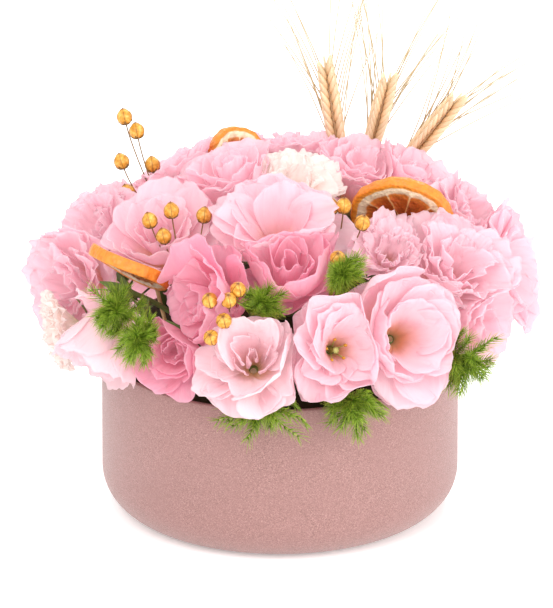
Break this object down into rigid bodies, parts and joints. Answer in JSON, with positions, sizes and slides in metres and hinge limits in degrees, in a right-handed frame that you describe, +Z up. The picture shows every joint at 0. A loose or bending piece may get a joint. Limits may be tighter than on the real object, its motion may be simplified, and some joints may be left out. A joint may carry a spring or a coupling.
{
  "type": "lisianthus flower arrangement in a pot",
  "caption": "Dome of ruffled pink lisianthus blooms with green tufts, wheat ears, dried orange slices and flax pods, standing in a low round speckled pot.",
  "frame": {"origin": "centre of the pot's foot, on the surface it stands on", "axes": "+Z up; -Y towards the front that the picture shows; +X to the picture's right"},
  "size_m": [0.3276, 0.3108, 0.3416],
  "materials": {
    "pot": "matte, speckled with fine light and dark grains",
    "foam": "matt wet floral foam under the blooms",
    "petals_pink": "soft matt petal, thin, pale pink with deeper veins and peach throats",
    "petals_cream": "soft matt petal, cream white flushed with pink",
    "petals_deep": "soft matt petal, deeper pink",
    "greenery": "soft green needles, lighter at the tips",
    "straw": "dry straw with a slight sheen",
    "orange": "dried peel and flesh, half matt",
    "wood": "bare wood",
    "flax": "dry golden seed pods on thin brown stalks"
  },
  "bodies": {
    "root": {"bloom_back_left": "petals_pink", "bloom_back_mid": "petals_pink", "bloom_back_mid_right": "petals_pink", "bloom_back_right": "petals_pink", "bloom_back_upper_left": "petals_pink", "bloom_back_upper_right": "petals_pink", "bloom_centre_deep": "petals_deep", "bloom_centre_open": "petals_pink", "bloom_front_bud": "petals_pink", "bloom_front_centre": "petals_pink", "bloom_front_mid": "petals_pink", "bloom_front_right": "petals_pink", "bloom_left_back": "petals_pink", "bloom_left_deep": "petals_pink", "bloom_left_far": "petals_pink", "bloom_left_front": "petals_pink", "bloom_left_low": "petals_cream", "bloom_left_upper": "petals_pink", "bloom_right_far": "petals_pink", "bloom_right_low": "petals_pink", "bloom_right_mid": "petals_pink", "bloom_right_mid_upper": "petals_pink", "bloom_right_upper": "petals_pink", "bloom_top_back": "petals_pink", "bloom_top_left": "petals_pink", "bloom_top_left_back": "petals_pink", "bloom_top_right": "petals_pink", "bloom_top_right_mid": "petals_pink", "bloom_upper_left": "petals_pink", "bloom_white_top": "petals_cream", "flax_back_left": "flax", "flax_centre": "flax", "flax_far_right": "flax", "flax_left": "flax", "flax_right": "flax", "foam": "foam", "orange_back": "orange", "orange_left": "orange", "orange_right": "orange", "pick_back": "wood", "pick_left": "wood", "pick_right": "wood", "pot": "pot", "tuft_centre": "greenery", "tuft_centre_right": "greenery", "tuft_front": "greenery", "tuft_front_left": "greenery", "tuft_front_right": "greenery", "tuft_left": "greenery", "tuft_right": "greenery", "wheat_left": "straw", "wheat_mid": "straw", "wheat_right": "straw"}
  },
  "joints": []
}
